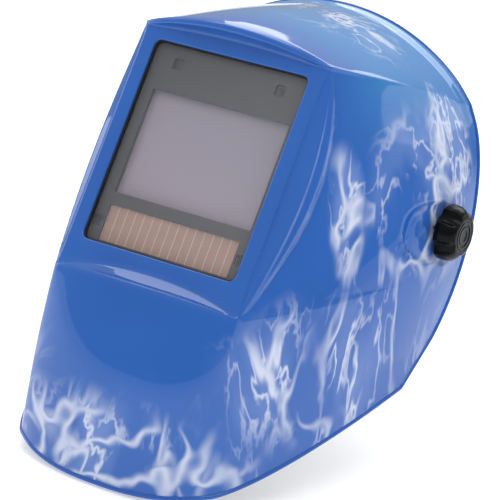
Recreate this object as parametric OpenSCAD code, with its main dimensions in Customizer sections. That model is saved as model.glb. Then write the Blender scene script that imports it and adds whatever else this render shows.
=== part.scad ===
// Welding helmet with an auto-darkening filter and adjustable headgear.
// Millimetres. X runs across the head, -Y is the front, +Z is up.
// The origin is the middle of the tilt axis, between the two side pivots.

/* [Shell] */
// Thickness of the moulded shell, as a share of its distance to the centre
shell_wall = 0.028; // [0.024:0.002:0.036]
// Backward lean of the flat face plate
face_lean = 25; // [20:1:28]
// Half width of the shell at its widest, just behind the tilt axis
shell_half = 112; // [111:0.5:114]

/* [Window] */
// Width of the opening in the face plate
window_w = 105; // [98:1:108]
// Height of the opening in the face plate
window_h = 125; // [118:1:126]

/* [Filter] */
// Width of the filter cartridge
filter_w = 113; // [112:0.5:114]
// Height of the filter cartridge
filter_h = 132; // [130:0.5:133]
// Width of the darkening screen
screen_w = 94; // [80:1:95]
// Height of the darkening screen
screen_h = 65; // [50:1:66]
// Width of the solar strip
solar_w = 89; // [70:1:90]
// Height of the solar strip
solar_h = 22; // [16:1:22]

/* [Headgear] */
// Half width of the headband, inside
head_half_w = 78; // [74:1:79]
// Half length of the headband, inside
head_half_l = 98; // [94:1:99]
// Height of the headband strip
band_h = 26; // [22:1:28]
// Thickness of the headband strip
band_t = 2; // [1.6:0.2:2.4]

/* [Knobs] */
// Radius of the side tension knobs over their lobes
knob_r = 17; // [15:0.5:18]
// Height of the side tension knobs
knob_h = 13; // [11:0.5:14]
// Number of lobes on a tension knob
knob_lobes = 5; // [4:1:8]

/* [Hidden] */
$fn = 48;
gap = 0.1;

// --- tilt pivot stack, along X from the head outwards ---
bolt_r = 5.95;
bore_r = 6;
arm_x = 94.5;
arm_t = 3;
block_x = arm_x + arm_t + 0.3;
block_t = 3.5;
washer_x = block_x + block_t + gap;
washer_t = 1.2;
bush_x = washer_x + washer_t + 0.3;
pivot_half = shell_half - 2.8;
bush_out = pivot_half + 0.6;
bush_r = 9;
knob_x = bush_out + 0.4;
knob_phase = 8;
knob_notch_r = 6;
knob_notch_depth = 3;
cap_r = 11;
cap_t = 1.5;
washer_r = 13;
through = 40;

// --- headband, with straight legs on which the rear band slides ---
head_y = 22;
band_z = -10;
band_top = band_z + band_h;
band_out_w = head_half_w + band_t;
band_out_l = head_half_l + band_t;
leg_end_y = 46;
band_gap = 0.4;
rear_leg_y = 38;
rear_bend_y = 56;
rear_in_w = band_out_w + band_gap;
rear_in_l = head_y + band_out_l + band_gap - rear_bend_y;
pad_gap = 0.2;
brow_pad_t = 7;
brow_pad_arc = 110;
nape_pad_t = 6;
nape_pad_arc = 56;

// --- crown straps, over the rear band's outer face ---
strap_t = 1.6;
strap_w = 18;
strap_in = rear_in_w + band_t + band_gap;
strap_z = band_top - 4;
strap_rise = 78;
strap_gap = 1;
strap_tail = 4.2;
strap_tilt_front = 22;
strap_tilt_rear = -32;
strap_hole_r = 2.3;
stud_r = 4.2;

// --- arms that carry the tilt pivot ---
rivet_y = 24;
rivet_r = 2.4;
arm_boss_r = 4.5;
rear_boss_x = rear_in_w + band_t + 0.6;
front_boss_x = 74.2;
arm_w = 22;
arm_l = 60;
slot_w = 9;
slot_l = 38;

// --- face plate and filter stack, depths measured inwards from the plate ---
face_c = [0, -115, 33];
plate_half = 62.5;
gasket_z = -3.6;
cover_z = -4.8;
housing_back = -15;
housing_front = -5;
holder_back = -17;
gate_back = -19.6;
gate_front = -17.2;
hinge_y = 73;
hinge_z = -19;
hinge_half = 44;
knuckle_x = 40;
knuckle_r = 3.2;
knuckle_w = 8;
gate_knuckle_x = 26;
gate_knuckle_r = 2.8;
gate_knuckle_w = 18;
pin_r = 1.5;
latch_y = -67.6;
latch_w = 18;
latch_back = -23.2;
latch_front = gate_back - 0.3;
screen_x = 1.5;
screen_y = 1.5;
solar_y = -49.5;
pod_back = -27;
pod_low = -60;
pod_high = -37;
pod_half = 42;
dial_y = -51;
dial_step = 14;
dial_r = 6;
dial_t = 5.6;
shaft_r = 2;
button_y = -41;
tray_in = 19.5;
tray_back = -25.6;
tray_t = 5.5;
tray_l = 20.6;
tray_y = pod_low + 1.5;
cell_x = 31;
cell_y = pod_low + 11.8;
cell_r = 10;
cell_t = 3.2;
sensor_w = 6;

// --- nape adjuster ---
nape_y = head_y + band_out_l;
pinion_teeth = 12;
pinion_module = 1;
pinion_r = pinion_teeth * pinion_module / 2;
rack_len = 46;
rack_t = 3;
rack_in = -12;
rack_w = 6;
rack_y = nape_y + 6;
adjuster_z = 3;
adjuster_w = 104;
adjuster_h = 34;
adjuster_y = nape_y + 8.5;
pinion_shaft_r = 4;
fit_knob_r = 19;
fit_knob_h = 14;
fit_lobes = 12;
fit_notch_r = 2.7;
fit_notch_depth = 1.3;

// ---------------------------------------------------------------- curves
function mix(a, b, t) = a + (b - a) * t;
function bezier(p, t) =
  p[0] * pow(1 - t, 3) + p[1] * 3 * t * pow(1 - t, 2)
  + p[2] * 3 * t * t * (1 - t) + p[3] * pow(t, 3);
function face_point(x, up, out) = [
  x,
  face_c.y + up * sin(face_lean) - out * cos(face_lean),
  face_c.z + up * cos(face_lean) + out * sin(face_lean)
];

// Points that the shell's edges run through, on the right-hand side
rim_front = [0, -175, -152];
rim_corner = [66, -158, -145];
rim_rear = [shell_half - 4, -21, -95];
rear_notch = [shell_half - 2.5, 7, -68];
crease_end = [shell_half - 18, 39, 69];
crown_rear = [0, 39, 111];
brow_corner = face_point(plate_half + 1, 71.5, 0.5);
brow_top = face_point(0, 80.5, 8);
crown_flare = 3;
side_swell = 8;
chin_lip = face_point(0, -81, 8);
chin_corner = face_point(plate_half, -82, 0.5);

function rim_side(t) = bezier([rim_corner, [84, -138, -139], [102, -72, -112], rim_rear], t);
function rear_edge(t) = t < 0.12
  ? mix(rim_rear, rear_notch, t / 0.12)
  : bezier([rear_notch, [112, 36, -30], [116, 40, 36], crease_end], (t - 0.12) / 0.88);
function crease(t) = bezier([brow_corner, [75, -55, 91], [87, -2, 83], crease_end], t);
function crown_edge(t) = bezier([crown_rear, [40, 39, 111], [76, 39, 92], crease_end], t);
function crown_line(t) = bezier([brow_top, [0, -66, 114], [0, -10, 114], crown_rear - flare_drop(0)], t);

// ---------------------------------------------------------------- shell surface
// The front has columns 0 to front_n and the sides run on to side_n more.
// chin_n rows lie below the chin's lip, and face_rows lists the ones above it as
// [height at the middle, depth at the middle, height at the edge, depth at the edge].
window_col = window_w / 2 / plate_half;
front_cols = [0, 0.22, 0.44, 0.66, window_col, 0.93, 1];
front_n = len(front_cols) - 1;
window_n = 4;
side_n = 16;
chin_n = 8;
window_rows = 6;
face_rows = [
  [-72, 0, -81, 0],
  for (i = [0:window_rows])
    let (up = mix(-window_h / 2, window_h / 2, i / window_rows)) [up, 0, up, 0],
  [73, 0, 69, 0],
  [74, 11, 69.6, 0.6],
  [77.5, 11.5, 70.6, 0.8],
  [80.5, 8, 71.5, 0.5]
];
row_n = chin_n + len(face_rows);
window_low = chin_n + 2;
window_top = window_low + window_rows;
col_n = front_n + side_n;

function edge_x(row) = row <= chin_n
  ? mix(rim_corner.x, chin_corner.x, row / chin_n)
  : row == row_n ? brow_corner.x : plate_half;
function face_row(row) = face_rows[row - chin_n - 1];
function chin_point(t, c) =
  let (
    mid = mix(rim_front, chin_lip, t) + [0, -3 * sin(180 * t), 0],
    side = mix(rim_corner, chin_corner, t) + [0, -3 * sin(180 * t), 0],
    p = mix(mid, side, pow(c, 2.6))
  ) [side.x * c, p.y, p.z];
function front_point(row, c) = row <= chin_n
  ? chin_point(row / chin_n, c)
  : let (f = face_row(row))
    face_point(edge_x(row) * c, mix(f[0], f[2], c * c), mix(f[1], f[3], c * c));
function side_share(row) =
  (front_point(row, 1).z - rim_corner.z) / (brow_corner.z - rim_corner.z);
function side_point(row, h) =
  let (
    v = side_share(row),
    ends = mix(front_point(row, 1), rear_edge(v), h),
    rails = mix(rim_side(h), crease(h), v),
    corners = mix(mix(rim_corner, rim_rear, h), mix(brow_corner, crease_end, h), v)
  ) ends + rails - corners + [side_swell * sin(180 * v) * sin(180 * pow(h, 1.6)), 0, 0];
function wrap_point(row, col) = col <= front_n
  ? front_point(row, front_cols[col])
  : row == row_n
    ? crease((col - front_n) / side_n)
    : side_point(row, (col - front_n) / side_n);
function flare_drop(c) = [0, 0, crown_flare * (1 - c * c * c)];
function crown_point(g, c) =
  let (
    ends = mix(front_point(row_n, c), crown_edge(c) - flare_drop(c), g),
    rails = mix(crown_line(g), crease(g), c),
    back = crown_rear - flare_drop(0),
    corners = mix(mix(brow_top, brow_corner, c), mix(back, crease_end, c), g)
  ) ends + rails - corners + flare_drop(c) * pow(g, 7);

function mirror_x(p, side) = [side * p.x, p.y, p.z];
function wrap_id(row, col) = row * (2 * col_n + 1) + col + col_n;
wrap_count = (row_n + 1) * (2 * col_n + 1);
crown_cols = 2 * front_n - 1;
function crown_id(g, col) =
  g == 0 ? wrap_id(row_n, col)
  : abs(col) == front_n ? wrap_id(row_n, sign(col) * (front_n + g))
  : wrap_count + (g - 1) * crown_cols + col + front_n - 1;

outer_points = [
  for (row = [0:row_n], col = [-col_n:col_n]) mirror_x(wrap_point(row, abs(col)), col < 0 ? -1 : 1),
  for (g = [1:side_n], col = [1 - front_n:front_n - 1])
    mirror_x(crown_point(g / side_n, front_cols[abs(col)]), col < 0 ? -1 : 1)
];
skin_n = len(outer_points);
skin_centre = [0, -40, 0];
inner_points = [for (p = outer_points) mix(p, skin_centre, shell_wall)];

function in_window(row, col) =
  row >= window_low && row < window_top && col >= -window_n && col < window_n;
skin_quads = [
  for (row = [0:row_n - 1], col = [-col_n:col_n - 1])
    if (!in_window(row, col))
      [wrap_id(row, col), wrap_id(row, col + 1), wrap_id(row + 1, col + 1), wrap_id(row + 1, col)],
  for (g = [0:side_n - 1], col = [-front_n:front_n - 1])
    [crown_id(g, col), crown_id(g, col + 1), crown_id(g + 1, col + 1), crown_id(g + 1, col)]
];
rim_loop = [
  for (col = [-col_n:col_n]) wrap_id(0, col),
  for (row = [1:row_n]) wrap_id(row, col_n),
  for (col = [front_n - 1:-1:1 - front_n]) crown_id(side_n, col),
  for (row = [row_n:-1:1]) wrap_id(row, -col_n)
];
window_loop = [
  for (col = [-window_n:window_n - 1]) wrap_id(window_top, col),
  for (row = [window_top:-1:window_low + 1]) wrap_id(row, window_n),
  for (col = [window_n:-1:1 - window_n]) wrap_id(window_low, col),
  for (row = [window_low:window_top - 1]) wrap_id(row, -window_n)
];
function loop_walls(loop) = [
  for (i = [0:len(loop) - 1])
    let (a = loop[i], b = loop[(i + 1) % len(loop)]) [b, a, a + skin_n, b + skin_n]
];
function halves(q) = [[q[2], q[1], q[0]], [q[3], q[2], q[0]]];
shell_faces = [
  for (q = skin_quads) each halves(q),
  for (q = skin_quads) each halves([q[3], q[2], q[1], q[0]] + [1, 1, 1, 1] * skin_n),
  for (q = concat(loop_walls(rim_loop), loop_walls(window_loop))) each halves(q)
];

// ---------------------------------------------------------------- helpers
module on_face() {
  translate(face_c) rotate([90 - face_lean, 0, 0]) children();
}

module slab(w, h, low, high, r = 3) {
  translate([0, 0, low])
    linear_extrude(high - low)
      rounded_rect(w, h, r);
}

module rounded_rect(w, h, r) {
  union() {
    square([w - 2 * r, h], center = true);
    square([w, h - 2 * r], center = true);
    for (x = [-1, 1], y = [-1, 1]) translate([x * (w / 2 - r), y * (h / 2 - r)]) circle(r);
  }
}

module frame_slab(w, h, in_w, in_h, low, high, r = 3) {
  difference() {
    slab(w, h, low, high, r);
    slab(in_w, in_h, low - 1, high + 1, r);
  }
}

module along_x(x, length, r, side = 1) {
  translate([side * (x + length / 2), 0, 0]) rotate([0, 90, 0]) cylinder(h = length, r = r, center = true);
}

function ellipse_arc(a, b, from, to, n = 40) =
  [for (i = [0:n]) let (t = mix(from, to, i / n)) [a * cos(t), b * sin(t)]];
function reversed(list) = [for (i = [len(list) - 1:-1:0]) list[i]];

module arc_strip(a, b, t, from, to, n) {
  polygon(concat(ellipse_arc(a, b, from, to, n), reversed(ellipse_arc(a + t, b + t, from, to, n))));
}

// A U-shaped strip: half an ellipse about centre_y, and straight legs to leg_y
module band_strip(centre_y, a, b, t, from, to, leg_y, n) {
  translate([0, centre_y]) arc_strip(a, b, t, from, to, n);
  for (side = [-1, 1])
    translate([side * (a + t / 2), (centre_y + leg_y) / 2]) square([t, abs(leg_y - centre_y)], center = true);
}

// ---------------------------------------------------------------- shell group
module shell() {
  color("royalblue") difference() {
    polyhedron(points = concat(outer_points, inner_points), faces = shell_faces);
    for (side = [-1, 1]) {
      along_x(pivot_half - through / 2, through, bush_r + 0.05, side);
      along_x(bush_out, 10, knob_r + 3, side);
    }
  }
}

module pivot_bush(side) {
  color("dimgray") difference() {
    along_x(bush_x, bush_out - bush_x, bush_r, side);
    along_x(bush_x - 1, bush_out - bush_x + 2, bore_r, side);
  }
}

module pivot_bush_left() {
  pivot_bush(-1);
}

module pivot_bush_right() {
  pivot_bush(1);
}

module cover_gasket() {
  color("black") on_face()
    frame_slab(filter_w, filter_h, window_w + 2, window_h + 1.6, gasket_z, gasket_z + 1);
}

module cover_lens() {
  color("lightgray", 0.3) on_face() slab(filter_w, filter_h, cover_z, cover_z + 1);
}

module holder_knuckle(x) {
  difference() {
    union() {
      translate([x - knuckle_w / 2, hinge_y, hinge_z]) rotate([0, 90, 0])
        cylinder(h = knuckle_w, r = knuckle_r);
      translate([x - knuckle_w / 2, hinge_y - knuckle_r, hinge_z]) cube([knuckle_w, 2 * knuckle_r, 3.6]);
    }
    translate([x - knuckle_w, hinge_y, hinge_z]) rotate([0, 90, 0]) cylinder(h = 2 * knuckle_w, r = pin_r);
  }
}

module lens_holder() {
  color("dimgray") on_face() {
    difference() {
      union() {
        slab(filter_w + 8, filter_h + 8, holder_back, -2.6, 4);
        translate([-hinge_half, hinge_y - 6, -15.4]) cube([2 * hinge_half, 9.2, 5]);
      }
      slab(filter_w + 0.6, filter_h + 0.6, holder_back - 1, 0, 3);
    }
    for (x = [-knuckle_x, knuckle_x]) holder_knuckle(x);
  }
}

module filter_housing() {
  color("darkslategray") on_face() difference() {
    slab(filter_w, filter_h, housing_back, housing_front, 3);
    slab(filter_w - 5, filter_h - 5, housing_back + 2, housing_front + 1, 2);
    translate([screen_x, screen_y, 0]) slab(screen_w + 2, screen_h + 2, housing_back - 1, 0, 2);
  }
}

module filter_mask() {
  color("dimgray") on_face() difference() {
    slab(filter_w - 5.4, filter_h - 5.4, -6.6, -5.2, 2);
    translate([screen_x, screen_y, 0]) slab(screen_w, screen_h, -8, 0, 1);
    translate([0, solar_y, 0]) slab(solar_w, solar_h, -8, 0, 1);
    for (p = sensor_places()) translate(p) slab(sensor_w + 1, sensor_w + 1, -8, 0, 1.5);
  }
}

function sensor_places() = [[-35, 51.5, 0], [35, 51.5, 0], [-49.2, solar_y, 0], [49.2, solar_y, 0]];

module screen_filter() {
  color("thistle") on_face() translate([screen_x, screen_y, 0])
    slab(screen_w + 1.6, screen_h + 1.6, -12.95, -9.4, 1);
}

module solar_panel() {
  color("rosybrown") on_face() translate([0, solar_y, 0]) slab(solar_w + 3, solar_h + 1, -8, -6.8, 1);
}

module arc_sensors() {
  color("black") on_face() for (p = sensor_places()) translate(p) slab(sensor_w, sensor_w, -8.4, -6.9, 1);
}

module circuit_board() {
  color("green") on_face() difference() {
    slab(filter_w - 6, filter_h - 6, -10.6, -9, 2);
    translate([screen_x, screen_y, 0]) slab(screen_w + 3, screen_h + 3, -12, -8, 1);
  }
}

module inner_cover_lens() {
  color("lightgray", 0.3) on_face() translate([screen_x, screen_y + 3, 0]) slab(100, 74, -16.2, -15.1, 2);
}

module control_pod() {
  color("dimgray") on_face() difference() {
    translate([0, (pod_low + pod_high) / 2, 0])
      slab(2 * pod_half, pod_high - pod_low, pod_back, housing_back - gap, 3);
    for (i = [-1:1]) translate([i * dial_step, dial_y, pod_back - 1]) cylinder(h = 5, r = shaft_r + 0.05);
    translate([0, button_y, pod_back - 1]) cylinder(h = 5, r = shaft_r + 0.1);
    for (side = [-1, 1]) tray_block(side, 0.3, through);
  }
}

module tray_block(side, grow, extra) {
  length = pod_half - tray_in + extra;
  translate([side > 0 ? tray_in - grow : -tray_in + grow - length, tray_y - grow, tray_back - grow])
    cube([length, tray_l + 2 * grow, tray_t + 2 * grow]);
}

module hinge_rod(r) {
  translate([-hinge_half, hinge_y, hinge_z]) rotate([0, 90, 0]) cylinder(h = 2 * hinge_half, r = r);
}

module gate_pin() {
  color("silver") on_face() hinge_rod(pin_r);
}

module retaining_gate() {
  color("dimgray") on_face() difference() {
    union() {
      frame_slab(filter_w + 4, filter_h, 104, 124, gate_back, gate_front, 3);
      for (x = [-gate_knuckle_x, gate_knuckle_x]) translate([x - gate_knuckle_w / 2, 0, 0]) {
        translate([0, hinge_y, hinge_z]) rotate([0, 90, 0]) cylinder(h = gate_knuckle_w, r = gate_knuckle_r);
        translate([0, filter_h / 2 - 4, gate_back]) cube([gate_knuckle_w, hinge_y - filter_h / 2 + 3, 2]);
      }
    }
    hinge_rod(pin_r + 0.05);
  }
}

module gate_latch() {
  color("black") on_face() {
    translate([-latch_w / 2, latch_y, latch_back]) cube([latch_w, 4.6, latch_front - latch_back]);
    translate([-latch_w / 4, latch_y - 5.8, latch_front - 1.7]) cube([latch_w / 2, 6, 1.7]);
  }
}

module dial(i, r) {
  translate([i * dial_step, dial_y, pod_back - dial_t - 0.4]) {
    difference() {
      cylinder(h = dial_t, r = r);
      for (a = [0:30:330]) rotate(a) translate([r + 0.5, 0, -1]) cylinder(h = dial_t + 2, r = 1, $fn = 16);
      translate([-0.7, 0, -1]) cube([1.4, r, 1.8]);
    }
    cylinder(h = dial_t + 3.4, r = shaft_r);
  }
}

module shade_dial() {
  color("black") on_face() dial(0, dial_r + 0.6);
}

module sensitivity_dial() {
  color("black") on_face() dial(-1, dial_r);
}

module delay_dial() {
  color("black") on_face() dial(1, dial_r);
}

module test_button() {
  color("gray") on_face() translate([0, button_y, pod_back - 1.8]) cylinder(h = 4, r = shaft_r);
}

module battery_tray(side) {
  color("dimgray") on_face() difference() {
    tray_block(side, 0, 0);
    translate([side * cell_x, cell_y, tray_back + 0.5]) cylinder(h = tray_t, r = cell_r + 0.1);
    translate([side * cell_x, cell_y, tray_back - 1]) cylinder(h = tray_t, r = cell_r / 2);
  }
}

module battery_tray_left() {
  battery_tray(-1);
}

module battery_tray_right() {
  battery_tray(1);
}

module coin_cell(side) {
  color("silver") on_face() translate([side * cell_x, cell_y, tray_back + 0.6])
    cylinder(h = cell_t, r = cell_r);
}

module coin_cell_left() {
  coin_cell(-1);
}

module coin_cell_right() {
  coin_cell(1);
}

// ---------------------------------------------------------------- headgear group
module rivet_holes(r) {
  for (side = [-1, 1], y = [-rivet_y, rivet_y])
    translate([0, y, 0]) along_x(head_half_w - through / 2, through, r, side);
}

module strap_hole(r) {
  translate([0, head_y, strap_z]) for (side = [-1, 1]) along_x(head_half_w - 4, 20, r, side);
}

module headband_front() {
  color("#2b2b2e") difference() {
    translate([0, 0, band_z]) linear_extrude(band_h)
      band_strip(head_y, head_half_w, head_half_l, band_t, -180, 0, leg_end_y, 60);
    rivet_holes(rivet_r + 0.1);
    strap_hole(strap_hole_r);
  }
}

module brow_pad() {
  inset = brow_pad_t + pad_gap;
  from = -90 - brow_pad_arc / 2;
  color("#3a3a3e") translate([0, head_y, band_z - 3]) linear_extrude(band_h + 6)
    arc_strip(head_half_w - inset, head_half_l - inset, brow_pad_t, from, from + brow_pad_arc, 36);
}

module crown_strap(tilt, half_w) {
  difference() {
    translate([0, head_y, strap_z]) rotate([90 + tilt, 0, 0])
      linear_extrude(strap_w, center = true)
        band_strip(0, half_w, strap_rise, strap_t, 0, 180, -strap_tail, 48);
    strap_hole(strap_hole_r);
  }
}

module crown_strap_front() {
  color("#2b2b2e") crown_strap(strap_tilt_front, strap_in);
}

module crown_strap_rear() {
  color("#2b2b2e") crown_strap(strap_tilt_rear, strap_in + strap_t + strap_gap);
}

module strap_studs() {
  head_x = strap_in + 2 * strap_t + strap_gap + 0.1;
  color("black") translate([0, head_y, strap_z]) for (side = [-1, 1]) {
    along_x(head_half_w - 1.6, head_x + 2 - head_half_w, strap_hole_r - 0.05, side);
    along_x(head_half_w - 1.6, 1.5, stud_r, side);
    along_x(head_x, 2, stud_r, side);
  }
}

module side_arm(side) {
  color("#2b2b2e") difference() {
    union() {
      translate([side * (arm_x + arm_t / 2), 0, 0]) rotate([0, 90, 0])
        linear_extrude(arm_t, center = true) rounded_rect(arm_w, arm_l, arm_boss_r);
      translate([0, rivet_y, 0]) along_x(rear_boss_x, arm_x - rear_boss_x + 0.5, arm_boss_r, side);
      translate([0, -rivet_y, 0]) along_x(front_boss_x, arm_x - front_boss_x + 0.5, arm_boss_r, side);
    }
    translate([side * (arm_x + arm_t / 2), 0, 0]) rotate([0, 90, 0])
      linear_extrude(arm_t + 2, center = true) rounded_rect(slot_w, slot_l, 4);
    for (y = [-rivet_y, rivet_y])
      translate([0, y, 0]) along_x(front_boss_x - 4, through, rivet_r + 0.1, side);
  }
}

module side_arm_left() {
  side_arm(-1);
}

module side_arm_right() {
  side_arm(1);
}

module arm_rivets() {
  color("silver") for (side = [-1, 1]) {
    translate([0, rivet_y, 0]) arm_rivet(head_half_w - 0.8, side);
    translate([0, -rivet_y, 0]) arm_rivet(front_boss_x - 7.4, side);
  }
}

module arm_rivet(start_x, side) {
  along_x(start_x, arm_x + arm_t - start_x + 0.4, rivet_r, side);
  along_x(arm_x + arm_t + 0.1, 1.2, 4, side);
}

module pivot_block(side) {
  color("black") difference() {
    union() {
      translate([side * (block_x + block_t / 2), 0, 0]) rotate([0, 90, 0])
        linear_extrude(block_t, center = true) rounded_rect(20, 24, 4);
      translate([side * (arm_x + arm_t / 2 - 0.6), 0, 0]) rotate([0, 90, 0])
        linear_extrude(arm_t + 1.9, center = true) rounded_rect(8.4, 16, 3);
    }
    along_x(arm_x - 4, 20, 3, side);
  }
}

module pivot_block_left() {
  pivot_block(-1);
}

module pivot_block_right() {
  pivot_block(1);
}

module pivot_bolt(side) {
  color("dimgray") {
    along_x(arm_x - 3, block_x + block_t - arm_x + 3.05, 2.98, side);
    along_x(block_x + block_t, knob_x + knob_h - 4 - block_x - block_t, bolt_r, side);
  }
}

module pivot_bolt_left() {
  pivot_bolt(-1);
}

module pivot_bolt_right() {
  pivot_bolt(1);
}

module friction_washers() {
  color("tan") for (side = [-1, 1]) difference() {
    along_x(washer_x, washer_t, washer_r, side);
    along_x(washer_x - 1, washer_t + 2, bolt_r + 0.02, side);
  }
}

module lobed_disc(r, lobes, notch_r, notch_depth) {
  difference() {
    circle(r);
    for (i = [0:lobes - 1])
      rotate(i * 360 / lobes) translate([r + notch_r - notch_depth, 0]) circle(notch_r);
  }
}

module tension_knob(side) {
  color("#101014") difference() {
    translate([side * (knob_x + knob_h / 2), 0, 0]) rotate([0, 90, 0])
      linear_extrude(knob_h, center = true)
        rotate(knob_phase) lobed_disc(knob_r, knob_lobes, knob_notch_r, knob_notch_depth);
    along_x(knob_x - 1, knob_h - 2.9, bore_r, side);
    along_x(knob_x + knob_h - cap_t, 2 * cap_t, cap_r + 0.1, side);
  }
}

module tension_knob_left() {
  tension_knob(-1);
}

module tension_knob_right() {
  tension_knob(1);
}

module knob_cap(side) {
  color("#1c1c22") difference() {
    along_x(knob_x + knob_h - cap_t, cap_t + 0.2, cap_r, side);
    for (r = [cap_r - 2.5, cap_r / 2])
      translate([side * (knob_x + knob_h), 0, 0]) rotate([0, 90, 0])
        rotate_extrude() translate([r, 0]) square([0.8, 1], center = true);
  }
}

module knob_cap_left() {
  knob_cap(-1);
}

module knob_cap_right() {
  knob_cap(1);
}

// ---------------------------------------------------------------- nape group
module rear_band() {
  color("#2b2b2e") difference() {
    translate([0, 0, band_z]) linear_extrude(band_h)
      band_strip(rear_bend_y, rear_in_w, rear_in_l, band_t, 0, 180, rear_leg_y, 56);
    translate([-24, nape_y - through / 2, band_z + 4]) cube([48, through, band_h - 8]);
  }
}

module nape_pad() {
  inset = nape_pad_t + pad_gap;
  from = 90 - nape_pad_arc / 2;
  color("#3a3a3e") translate([0, rear_bend_y, band_z + 1]) linear_extrude(band_h - 2)
    arc_strip(rear_in_w - inset, rear_in_l - inset, nape_pad_t, from, from + nape_pad_arc, 24);
}

module adjuster_housing() {
  color("#242427") difference() {
    translate([0, adjuster_y, adjuster_z]) rotate([90, 0, 0]) slab(adjuster_w, adjuster_h, -6, 6, 8);
    translate([-48.5, nape_y + 5, adjuster_z - 11]) cube([97, 8, 22]);
    translate([0, nape_y + 5, adjuster_z]) rotate([-90, 0, 0]) cylinder(h = 20, r = pinion_shaft_r + 0.05);
  }
}

module adjuster_cover() {
  color("#2b2b2e") translate([0, nape_y + 15.05, adjuster_z]) rotate([90, 0, 0]) difference() {
    slab(adjuster_w - 8, adjuster_h - 8, -0.5, 0.5, 8);
    translate([0, 0, -2]) cylinder(h = 4, r = pinion_shaft_r + 1);
  }
}

module band_rack_left() {
  color("black") rack(-1);
}

module band_rack_right() {
  color("black") rack(1);
}

module rack(side) {
  tooth = PI * pinion_module;
  back_z = adjuster_z - side * (pinion_r + 1.3 * pinion_module);
  union() {
    translate([side > 0 ? rack_in : -rack_in - rack_len, rack_y, side > 0 ? back_z - rack_t : back_z])
      cube([rack_len, rack_w, rack_t]);
    for (i = [-3:10])
      translate([side * (i + 0.5) * tooth - tooth * 0.19, rack_y, side > 0 ? back_z - 0.1 : back_z - 1.9])
        cube([tooth * 0.38, rack_w, 2]);
  }
}

module fit_pinion() {
  root_r = pinion_r - 1.25 * pinion_module;
  tip_r = pinion_r + 0.9 * pinion_module;
  color("dimgray") translate([0, rack_y, adjuster_z]) rotate([-90, 0, 0]) {
    linear_extrude(rack_w) union() {
      circle(root_r);
      for (i = [0:pinion_teeth - 1]) rotate(i * 360 / pinion_teeth)
        polygon([[root_r - 1, -0.85], [tip_r, -0.5], [tip_r, 0.5], [root_r - 1, 0.85]]);
    }
    translate([0, 0, rack_w - 1]) cylinder(h = 8, r = pinion_shaft_r);
  }
}

module fit_knob() {
  color("#101014") translate([0, nape_y + 16.2, adjuster_z]) rotate([-90, 0, 0]) difference() {
    linear_extrude(fit_knob_h) lobed_disc(fit_knob_r, fit_lobes, fit_notch_r, fit_notch_depth);
    translate([0, 0, -1]) cylinder(h = 4.2, r = pinion_shaft_r + 0.1);
  }
}

shell();
pivot_bush_left();
pivot_bush_right();
cover_gasket();
cover_lens();
lens_holder();
filter_housing();
filter_mask();
screen_filter();
solar_panel();
arc_sensors();
circuit_board();
inner_cover_lens();
control_pod();
gate_pin();
retaining_gate();
gate_latch();
shade_dial();
sensitivity_dial();
delay_dial();
test_button();
battery_tray_left();
battery_tray_right();
coin_cell_left();
coin_cell_right();
headband_front();
brow_pad();
crown_strap_front();
crown_strap_rear();
strap_studs();
side_arm_left();
side_arm_right();
arm_rivets();
pivot_block_left();
pivot_block_right();
pivot_bolt_left();
pivot_bolt_right();
friction_washers();
tension_knob_left();
tension_knob_right();
knob_cap_left();
knob_cap_right();
rear_band();
nape_pad();
adjuster_housing();
adjuster_cover();
band_rack_left();
band_rack_right();
fit_knob();
fit_pinion();
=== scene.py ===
"""Looks of a welding helmet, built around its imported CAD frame. Lengths are in millimetres unless said."""

import math

import bmesh
import bpy
import numpy as np
from mathutils import Matrix, Vector


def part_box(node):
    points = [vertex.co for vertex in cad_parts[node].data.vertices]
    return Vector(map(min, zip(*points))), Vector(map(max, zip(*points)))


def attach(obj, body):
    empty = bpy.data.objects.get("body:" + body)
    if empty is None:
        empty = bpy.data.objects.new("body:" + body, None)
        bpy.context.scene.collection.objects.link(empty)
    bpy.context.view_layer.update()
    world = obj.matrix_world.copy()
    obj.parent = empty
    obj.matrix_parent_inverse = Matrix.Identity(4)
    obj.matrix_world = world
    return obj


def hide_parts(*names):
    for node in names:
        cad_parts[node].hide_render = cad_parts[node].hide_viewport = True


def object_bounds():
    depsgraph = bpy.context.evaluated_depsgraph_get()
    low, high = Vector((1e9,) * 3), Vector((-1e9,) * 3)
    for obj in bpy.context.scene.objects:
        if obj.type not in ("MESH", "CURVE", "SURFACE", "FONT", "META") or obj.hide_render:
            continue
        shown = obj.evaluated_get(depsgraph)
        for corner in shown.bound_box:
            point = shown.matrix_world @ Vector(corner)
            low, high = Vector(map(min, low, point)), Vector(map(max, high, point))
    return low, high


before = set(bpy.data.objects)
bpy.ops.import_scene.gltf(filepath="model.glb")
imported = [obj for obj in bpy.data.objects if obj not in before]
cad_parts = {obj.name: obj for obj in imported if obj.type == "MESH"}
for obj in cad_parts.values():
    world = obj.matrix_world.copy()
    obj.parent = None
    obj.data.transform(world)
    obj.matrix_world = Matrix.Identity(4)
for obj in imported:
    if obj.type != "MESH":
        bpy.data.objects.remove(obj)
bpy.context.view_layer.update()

MM = 0.001
SHELL_BODY = "shell_unit"
SHARP = math.radians(38)

# The face plate: its lean, its middle, half its width and the window's half sizes
LEAN = math.radians(25)
FACE_MIDDLE = (0, -115, 33)
PLATE_HALF = 62.5
WINDOW_HALF_W = 52.5
WINDOW_HALF_H = 62.5
WINDOW_CORNER = 4
WINDOW_FILLET = 1.1
SKIN_T = 2.4

# The shell's shape, as in the CAD
SHELL_HALF = 112
CROWN_FLARE = 3
SIDE_SWELL = 8
CHIN_ROUNDNESS = 2.6


def vec(*values):
    return np.array(values, float)


def mix(a, b, t):
    return a + (b - a) * t


def column(t):
    return np.asarray(t, float)[..., None]


def smooth(t):
    t = np.clip(t, 0, 1)
    return t * t * (3 - 2 * t)


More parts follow.
